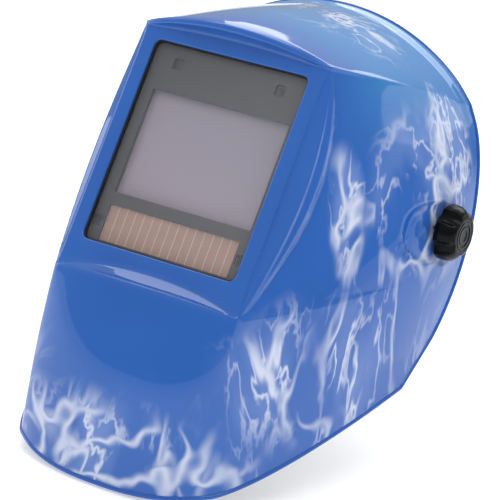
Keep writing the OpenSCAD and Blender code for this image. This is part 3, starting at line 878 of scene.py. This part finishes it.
# Sections of the knobs: (distance along the axis, radius, notch depth)
KNOB_BODY = (
    (10.1, POINT_R, 0),
    (10.1, 6.05, 0),
    (0, 6.05, 0),
    (0, 15.7, 2.2),
    (0.4, 16.5, 2.6),
    (1.1, 16.95, 3.0),
    (4, 17, 3.2),
    (6.5, 16.75, 3.3),
    (8.6, 16.1, 3.2),
    (10.2, 15.2, 2.8),
    (11.4, 14.1, 2.2),
    (12.2, 13.1, 1.5),
    (12.7, 12.2, 0.8),
    (13, 11.6, 0.2),
    (12.95, 11.1, 0),
    (11.5, 11.05, 0),
    (11.5, POINT_R, 0),
)
KNOB_CAP = (
    (11.55, POINT_R, 0),
    (11.55, 10.95, 0),
    (12.8, 10.95, 0),
    (13.05, 10.7, 0),
    (13.05, 9.8, 0),
    (12.7, 9.55, 0),
    (12.7, 8.9, 0),
    (13.15, 8.6, 0),
    (13.15, 7.2, 0),
    (12.6, 6.9, 0),
    (12.6, 5.9, 0),
    (13.0, 5.5, 0),
    (12.9, 3.6, 0),
    (12.5, 3.3, 0),
    (12.45, POINT_R, 0),
)
KNOB_TURN = math.radians(134)
KNOB_LOBES = 5
KNOB_NOTCH_R = 6
KNOB_GLOSS = moulded("knob_black", rgb(3, 3, 6), 0.2, grain=500, depth=0.000006, shine=0.13)
CAP_GLOSS = moulded("knob_cap_black", rgb(4, 4, 7), 0.22, grain=500, depth=0.000006, shine=0.13)


def make_tilt_knobs():
    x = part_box("tension_knob_right")[0].x / MM
    for side, word in ((-1, "left"), (1, "right")):
        place = vec(side * x, 0, 0)
        along = side * AXIS_X
        lobes = (KNOB_LOBES, KNOB_TURN, KNOB_NOTCH_R)
        body = turned(KNOB_BODY, place, along, AXIS_Y, AXIS_Z, KNOB_POINTS, *lobes)
        cap = turned(KNOB_CAP, place, along, AXIS_Y, AXIS_Z, CAP_POINTS)
        for part, rings, material in (("tension_knob", body, KNOB_GLOSS), ("knob_cap", cap, CAP_GLOSS)):
            name = part + "_" + word
            item = new_object(name + "_shaped", *loft(rings), [material])
            tidy_mesh(item)
            item.data.set_sharp_from_angle(angle=SHARP)
            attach(item, "knob_" + word)
            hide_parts(name)


make_tilt_knobs()

FIT_BODY = (
    (2.9, POINT_R, 0),
    (2.9, 4.15, 0),
    (0, 4.15, 0),
    (0, 17.6, 0.9),
    (0.5, 18.5, 1.1),
    (1.4, 19, 1.3),
    (10.5, 18.6, 1.4),
    (12.6, 18.0, 1.2),
    (13.6, 16.9, 0.8),
    (14, 15.4, 0.3),
    (13.9, 14.2, 0),
    (12.9, 13.4, 0),
    (12.6, 12, 0),
    (12.9, 6, 0),
    (13.3, POINT_R, 0),
)
FIT_LOBES = 12
FIT_NOTCH_R = 2.7


def make_fit_knob():
    low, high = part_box("fit_knob")
    place = vec(0, low.y / MM, (low.z + high.z) / 2 / MM)
    rings = turned(FIT_BODY, place, AXIS_Y, AXIS_X, AXIS_Z, FIT_POINTS, FIT_LOBES, 0, FIT_NOTCH_R)
    knob = new_object("fit_knob_shaped", *loft(rings), [KNOB_GLOSS])
    tidy_mesh(knob)
    knob.data.set_sharp_from_angle(angle=SHARP)
    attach(knob, "fit_adjuster")
    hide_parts("fit_knob")


make_fit_knob()

# -------------------------------- headgear, in the CAD's sizes
STRAP = moulded("strap_plastic", rgb(30, 30, 33), 0.5, grain=700, depth=0.00005)
HEAD_Y = 22
REAR_BEND_Y = 56
BAND_T = 2
STRAP_T = 1.6
STRAP_W = 18
EDGE_R = 0.6
LEG_STEPS = 8
BEND_STEPS = 120
SLOT_POINTS = 16
PUNCH_DEPTH = 6


def bent_path(centre_y, a, b, first, last, leg_y):
    """Middle line of a U-shaped band: (x, y) points and the outward directions."""
    t = np.radians(np.linspace(first, last, BEND_STEPS + 1))
    arc = np.stack([a * np.cos(t), centre_y + b * np.sin(t)], 1)
    out = np.stack([np.cos(t) / a, np.sin(t) / b], 1)
    out /= np.linalg.norm(out, axis=1, keepdims=True)
    legs = np.linspace(leg_y, centre_y, LEG_STEPS, endpoint=False)
    start = np.stack([np.full(LEG_STEPS, arc[0, 0]), legs], 1)
    end = np.stack([np.full(LEG_STEPS, arc[-1, 0]), legs[::-1]], 1)
    path = np.concatenate([start, arc, end])
    normal = np.concatenate([np.tile(out[0], (LEG_STEPS, 1)), out, np.tile(out[-1], (LEG_STEPS, 1))])
    return path, normal


def rounded_section(width, thick, steps=4):
    """A strip's cross-section with round corners, as (across, outward) pairs."""
    out = []
    for k, (sx, sy) in enumerate(((1, 1), (-1, 1), (-1, -1), (1, -1))):
        for i in range(steps + 1):
            a = math.pi / 2 * (k + i / steps)
            x = sx * (width / 2 - EDGE_R) + EDGE_R * math.cos(a)
            y = sy * (thick / 2 - EDGE_R) + EDGE_R * math.sin(a)
            out.append((x, y))
    return out


def make_strip(name, path, outward, across, width, thick, body, node):
    """A strip along a path, with round edges, that replaces a CAD node."""
    rings = [path + x * across + y * outward for x, y in rounded_section(width, thick)]
    points, faces = loft(np.array(rings).transpose(1, 0, 2), caps=True)
    strip = new_object(name, points, faces, [STRAP])
    tidy_mesh(strip)
    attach(strip, body)
    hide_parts(node)
    return strip


def punch(item, places, half_l, half_w):
    """Cuts rounded slots through a strip. Each place is (centre, direction through, direction along)."""
    points, faces = [], []
    for centre, through, along in places:
        side = np.cross(through, along)
        ring = []
        for k in range(SLOT_POINTS):
            a = 2 * math.pi * (k + 0.5) / SLOT_POINTS
            shift = math.copysign(half_l - half_w, math.cos(a)) if half_l > half_w else 0
            ring.append((half_w * math.cos(a) + shift) * along + half_w * math.sin(a) * side)
        ends = [centre + s * PUNCH_DEPTH * through + np.array(ring) for s in (-1, 1)]
        some, quads = loft(ends, caps=True)
        faces += [[i + len(some) * len(points) for i in q] for q in quads]
        points.append(some)
    cutter = new_object("slots", np.concatenate(points), faces, [])
    tidy_mesh(cutter, merge=0)
    cut_out(item, [cutter])
    item.data.set_sharp_from_angle(angle=SHARP)


# The slots' places, as point numbers along each strip's path, and their half lengths and half widths
FRONT_SLOTS = range(44, 94, 5)
FRONT_SLOT = (4.2, 1.5)
REAR_SLOTS = (22, 26, 30, 34, 104, 108, 112, 116)
REAR_SLOT = (2.6, 1.4)
CROWN_HOLES = range(46, 92, 6)
CROWN_HOLE_R = 2.3


def slot_places(points, outward, indices, heights=(0,)):
    """Places for slots at some points of a strip, at heights above its middle line."""
    out = []
    for i in indices:
        along = points[i + 1] - points[i - 1]
        along /= np.linalg.norm(along)
        out += [(points[i] + h * AXIS_Z, outward[i], along) for h in heights]
    return out


def in_space(path, outward, z):
    """A flat path and its directions as points and directions in space, at one height."""
    tall = np.full((len(path), 1), float(z))
    return np.concatenate([path, tall], 1), np.concatenate([outward, 0 * tall], 1)


# Node, body, where the bend starts, which way it goes, the slots, how high they are and their size
BANDS = (
    ("headband_front", "headgear", HEAD_Y, -1, FRONT_SLOTS, 8.5, FRONT_SLOT),
    ("rear_band", "rear_cradle", REAR_BEND_Y, 1, REAR_SLOTS, 7, REAR_SLOT),
)


def make_bands():
    low, high = (np.array(v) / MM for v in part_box("headband_front"))
    z, height = (low[2] + high[2]) / 2, high[2] - low[2]
    for node, body, bend_y, way, places, rise, size in BANDS:
        low, high = (np.array(v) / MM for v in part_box(node))
        tip, leg_end = (high[1], low[1])[::way]
        a, b = high[0] - BAND_T / 2, abs(tip - bend_y) - BAND_T / 2
        solid = in_space(*bent_path(bend_y, a, b, way * 180, 0, leg_end), z)
        band = make_strip(node + "_strip", *solid, AXIS_Z, height, BAND_T, body, node)
        punch(band, slot_places(*solid, places, (-rise, rise)), *size)


STRAP_TILTS = (("crown_strap_front", 22), ("crown_strap_rear", -32))
STRAP_TAIL = 4.2
STRAP_RISE = 78


def make_crown_straps():
    stud_low, stud_high = (np.array(v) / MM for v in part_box("strap_studs"))
    z = (stud_low[2] + stud_high[2]) / 2
    for node, tilt in STRAP_TILTS:
        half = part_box(node)[1].x / MM - STRAP_T / 2
        path, outward = bent_path(0, half, STRAP_RISE + STRAP_T / 2, 180, 0, -STRAP_TAIL)
        a = math.radians(tilt)
        up, across = vec(0, -math.sin(a), math.cos(a)), vec(0, math.cos(a), math.sin(a))
        place = vec(0, HEAD_Y, z)
        points = place + path[:, :1] * AXIS_X + path[:, 1:] * up
        normals = outward[:, :1] * AXIS_X + outward[:, 1:] * up
        strap = make_strip(node + "_strip", points, normals, across, STRAP_W, STRAP_T, "headgear", node)
        studs = [(place + side * half * AXIS_X, AXIS_X, AXIS_Z) for side in (-1, 1)]
        punch(strap, slot_places(points, normals, CROWN_HOLES) + studs, CROWN_HOLE_R, CROWN_HOLE_R)


make_bands()
make_crown_straps()


# -------------------------------- pads
def pad_cloth():
    """Black knitted towelling over foam."""
    g = Graph("pad_cloth", roughness=0.95, sheen_weight=0.5, sheen_roughness=0.4)
    loops = g.node("TexVoronoi", {"Vector": g.coords, "Scale": 1400}).outputs["Distance"]
    dark = g.blend(g.noise(45), rgb(30, 31, 35), rgb(47, 48, 54))
    g.set(base_color=g.blend(g.ease(loops, 0.1, 0.6), dark, rgb(66, 67, 74)))
    g.bump(g.math("ADD", loops, g.math("MULTIPLY", g.noise(300), 0.6)), 0.0004, 0.8)
    return g.material


PAD_CLOTH = pad_cloth()
# In metres: the pads' mesh size, how far they shrink before they swell, and how far a point may move
PAD_VOXEL = 0.0024
PAD_SHRINK = 0.0009
PAD_CAP = 0.0035
SWELL_STEPS = 20


def make_pad(node, body):
    """A cushion made from a CAD pad: shrunk a little, swollen like foam in its cover, and smoothed."""
    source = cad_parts[node]
    pad = bpy.data.objects.new(node + "_cushion", source.data.copy())
    bpy.context.scene.collection.objects.link(pad)
    work = bmesh.new()
    work.from_mesh(pad.data)
    bmesh.ops.remove_doubles(work, verts=work.verts, dist=WELD)
    work.normal_update()
    for vertex in work.verts:
        vertex.co -= vertex.normal * PAD_SHRINK
    work.to_mesh(pad.data)
    work.free()
    remesh = pad.modifiers.new("remesh", "REMESH")
    remesh.mode = "VOXEL"
    remesh.voxel_size = PAD_VOXEL
    bake_modifiers(pad)
    inflate(pad)
    smooth_pad = pad.modifiers.new("round", "SMOOTH")
    smooth_pad.factor = 0.5
    smooth_pad.iterations = 4
    rounder = pad.modifiers.new("rounder", "SUBSURF")
    rounder.levels = rounder.render_levels = 1
    bake_modifiers(pad)
    pad.data.materials.clear()
    pad.data.materials.append(PAD_CLOTH)
    pad.data.shade_smooth()
    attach(pad, body)
    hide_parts(node)


def inflate(pad):
    """Lets air pressure swell the pad like foam in its cover, and limits how far a point may move."""
    before = np.array([v.co for v in pad.data.vertices])
    cloth = pad.modifiers.new("swell", "CLOTH")
    cloth.settings.use_pressure = True
    cloth.settings.uniform_pressure_force = 3.5
    cloth.settings.effector_weights.gravity = 0
    cloth.settings.tension_stiffness = 18
    cloth.settings.compression_stiffness = 18
    cloth.settings.bending_stiffness = 1.5
    for step in range(1, SWELL_STEPS + 1):
        bpy.context.scene.frame_set(step)
    bake_modifiers(pad)
    bpy.context.scene.frame_set(1)
    after = np.array([v.co for v in pad.data.vertices])
    moved = after - before
    length = np.linalg.norm(moved, axis=1, keepdims=True)
    moved *= np.minimum(1, PAD_CAP / np.maximum(length, 1e-9))
    pad.data.vertices.foreach_set("co", (before + moved).ravel())
    pad.data.update()


make_pad("brow_pad", "headgear")
make_pad("nape_pad", "rear_cradle")

# -------------------------------- CAD nodes' materials
MASK = moulded("mask_grey", rgb(64, 59, 62), 0.6, grain=1100, depth=0.000004, wear=0.03)
STEEL = metal("steel", rgb(176, 178, 182), 0.28)
DIAL = moulded("dial_black", rgb(18, 18, 20), 0.35)
DIAL_GREY = moulded("dial_grey", rgb(120, 121, 124), 0.4)
FIBRE = moulded("washer_fibre", rgb(160, 132, 92), 0.8, grain=500, depth=0.00008, wear=0.15)
CIRCUIT = moulded("circuit", rgb(20, 74, 42), 0.35)


def clear_lens():
    """Hard-coated clear polycarbonate: it lets nearly all light through, and its surface shines a little."""
    g = Graph("clear_lens", roughness=0.05)
    tree = g.tree
    clear = tree.nodes.new("ShaderNodeBsdfTransparent")
    clear.inputs["Color"].default_value = (0.965, 0.97, 0.975, 1)
    g.set(base_color=(0.9, 0.92, 0.95, 1))
    g.bump(g.noise(12, detail=1), 0.00003, 0.2)
    haze = g.ease(g.noise(6, detail=1), 0.3, 0.7, 0.035, 0.055)
    both = g.node("MixShader", {0: haze, 1: clear.outputs[0], 2: g.shader.outputs[0]})
    tree.links.new(both.outputs[0], tree.nodes["Material Output"].inputs["Surface"])
    return g.material


def face_coords(g):
    """A point's place across and up the face plate, in metres."""
    split = g.node("SeparateXYZ", {"Vector": g.coords})
    x, y, z = (split.outputs[k] for k in "XYZ")
    middle = [v * MM for v in FACE_MIDDLE]
    rise = g.math("MULTIPLY", g.math("SUBTRACT", z, middle[2]), math.cos(LEAN))
    up = g.math("MULTIPLY_ADD", g.math("SUBTRACT", y, middle[1]), math.sin(LEAN), rise)
    return x, up


def screen_material():
    """The darkening screen at rest: a pale mauve glass with a soft gradient."""
    g = Graph("filter_glass", roughness=0.2, coat_weight=0.6, coat_roughness=0.08)
    x, up = face_coords(g)
    tone = g.ease(g.math("MULTIPLY_ADD", x, 0.45, up), -0.045, 0.055)
    base = g.blend(tone, rgb(158, 141, 156), rgb(142, 132, 148))
    g.set(base_color=g.blend(g.math("MULTIPLY", g.noise(25), 0.18), base, rgb(180, 166, 176)))
    g.bump(g.noise(20, detail=1), 0.000004, 0.3)
    return g.material


SOLAR_CELLS = 15
SOLAR_MARGIN = 1.5 * MM


def solar_material():
    """Thin-film solar strip: warm brown cells between pale divider lines."""
    g = Graph("solar_cell", roughness=0.3, coat_weight=0.4, coat_roughness=0.15)
    x = g.node("SeparateXYZ", {"Vector": g.coords}).outputs["X"]
    low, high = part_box("solar_panel")
    pitch = (high.x - low.x - 2 * SOLAR_MARGIN) / SOLAR_CELLS
    share = g.math("MULTIPLY", g.math("SUBTRACT", x, low.x + SOLAR_MARGIN), 1 / pitch)
    to_line = g.math("PINGPONG", g.math("FRACT", share), 0.5)
    line = g.ease(to_line, 0.055, 0.03)
    shade = g.noise(30, g.vector("MULTIPLY", g.coords, (1, 6, 6)), detail=2)
    base = g.blend(shade, rgb(164, 126, 110), rgb(180, 140, 124))
    g.set(base_color=g.blend(line, base, rgb(196, 178, 168)))
    g.bump(line, 0.00003)
    return g.material


EDGE_BEVEL = 0.35 * MM
BEVEL_FROM = math.radians(40)
SHARP_FROM = math.radians(35)


def paint_nodes(material, *names):
    """Gives CAD nodes a material, and their edges a moulded roundness."""
    for name in names:
        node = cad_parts[name]
        node.data.materials.clear()
        node.data.materials.append(material)
        node.data.set_sharp_from_angle(angle=SHARP_FROM)
        edge = node.modifiers.new("moulded_edge", "BEVEL")
        edge.width = EDGE_BEVEL
        edge.segments = 2
        edge.limit_method = "ANGLE"
        edge.angle_limit = BEVEL_FROM


paint_nodes(BLACK, "lens_holder", "control_pod", "retaining_gate", "gate_latch", "strap_studs", "fit_pinion")
for side in ("left", "right"):
    for part in ("pivot_bush_", "battery_tray_", "side_arm_", "pivot_block_", "pivot_bolt_", "band_rack_"):
        paint_nodes(BLACK, part + side)
    paint_nodes(STEEL, "coin_cell_" + side)
paint_nodes(STRAP, "adjuster_housing", "adjuster_cover")
paint_nodes(MASK, "filter_housing", "filter_mask")
paint_nodes(STEEL, "gate_pin", "arm_rivets")
paint_nodes(DIAL, "shade_dial", "sensitivity_dial", "delay_dial")
paint_nodes(moulded("sensor_glass", rgb(44, 44, 48), 0.3), "arc_sensors")
paint_nodes(DIAL_GREY, "test_button")
paint_nodes(FIBRE, "friction_washers")
paint_nodes(CIRCUIT, "circuit_board")
paint_nodes(clear_lens(), "cover_lens", "inner_cover_lens")
paint_nodes(screen_material(), "screen_filter")
paint_nodes(solar_material(), "solar_panel")

# -------------------------------- camera, in metres
AZIMUTH = math.radians(29.452)
ELEVATION = math.radians(14.862)
ROLL = math.radians(8.267)
CAMERA_AIM = (-0.0096, -0.0177, -0.0403)
CAMERA_DISTANCE = 1.60525
LENS = 188.3


def make_camera():
    flat = math.cos(ELEVATION)
    forward = Vector((-math.sin(AZIMUTH) * flat, math.cos(AZIMUTH) * flat, -math.sin(ELEVATION)))
    level = forward.cross(Vector((0, 0, 1))).normalized()
    level_view = Matrix((level, level.cross(forward), -forward)).transposed().to_4x4()
    turn = level_view @ Matrix.Rotation(ROLL, 4, "Z")
    data = bpy.data.cameras.new("camera")
    data.lens = LENS
    data.sensor_width = 36
    data.clip_end = 50
    camera = bpy.data.objects.new("camera", data)
    camera.matrix_world = Matrix.Translation(Vector(CAMERA_AIM) - CAMERA_DISTANCE * forward) @ turn
    bpy.context.scene.collection.objects.link(camera)
    bpy.context.scene.camera = camera


make_camera()


# -------------------------------- studio, in metres
FLOOR_GAP = 1 * MM
FLOOR_GLOW = 0.34
# How bright the studio is at the horizon and overhead, and its backdrop as the camera sees it
STUDIO_LOW = 0.34
STUDIO_HIGH = 0.85
BACKDROP = 1.1


def make_floor():
    floor_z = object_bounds()[0][2] - FLOOR_GAP
    bpy.ops.mesh.primitive_plane_add(size=30, location=(0, 0, floor_z))
    floor = bpy.context.object
    floor.name = "floor"
    g = Graph("floor_white", roughness=0.9, specular_ior_level=0.1)
    g.set(base_color=g.blend(g.noise(3, detail=1), (0.86, 0.86, 0.87, 1), (0.9, 0.9, 0.9, 1)))
    g.set(emission_color=(1, 1, 1, 1), emission_strength=FLOOR_GLOW)
    floor.data.materials.append(g.material)


def make_world():
    """A white backdrop for the camera, and a softer studio, paler overhead, for light and reflections."""
    world = bpy.data.worlds.new("studio")
    bpy.context.scene.world = world
    world.use_nodes = True
    tree = world.node_tree
    coords = tree.nodes.new("ShaderNodeTexCoord")
    split = tree.nodes.new("ShaderNodeSeparateXYZ")
    tree.links.new(coords.outputs["Generated"], split.inputs["Vector"])
    ramp = tree.nodes.new("ShaderNodeMapRange")
    limits = {"From Min": -0.05, "From Max": 0.9, "To Min": STUDIO_LOW, "To Max": STUDIO_HIGH}
    for key, value in limits.items():
        ramp.inputs[key].default_value = value
    tree.links.new(split.outputs["Z"], ramp.inputs["Value"])
    path = tree.nodes.new("ShaderNodeLightPath")
    pick = tree.nodes.new("ShaderNodeMix")
    tree.links.new(path.outputs["Is Camera Ray"], pick.inputs[0])
    tree.links.new(ramp.outputs["Result"], pick.inputs[2])
    pick.inputs[3].default_value = BACKDROP
    tree.links.new(pick.outputs[0], tree.nodes["Background"].inputs["Strength"])
    tree.nodes["Background"].inputs["Color"].default_value = (0.94, 0.98, 1, 1)


def area_light(name, direction, distance, size, radiance):
    """A soft box of an even brightness that faces the origin, with its distance and size in metres."""
    data = bpy.data.lights.new(name, "AREA")
    data.shape = "RECTANGLE"
    data.size, data.size_y = size
    data.energy = radiance * size[0] * size[1] * math.pi
    light = bpy.data.objects.new(name, data)
    away = Vector(direction).normalized()
    light.rotation_euler = (-away).to_track_quat("-Z", "Y").to_euler()
    light.location = away * distance
    bpy.context.scene.collection.objects.link(light)


make_floor()
make_world()
area_light("key", (0.45, -0.55, 0.95), 2.2, (1.3, 1.0), 2.6)
area_light("rear_right", (0.72, 0.66, 0.34), 2.4, (1.8, 0.5), 1.2)
area_light("rear_top", (-0.1, 0.72, 0.68), 2.6, (2.6, 1.1), 3.0)
area_light("overhead", (-0.42, 0.20, 0.88), 2.2, (1.3, 0.9), 2.6)
area_light("left", (-1.0, -0.12, 0.22), 2.4, (1.0, 1.1), 2.2)
bpy.context.scene.view_settings.view_transform = "Standard"
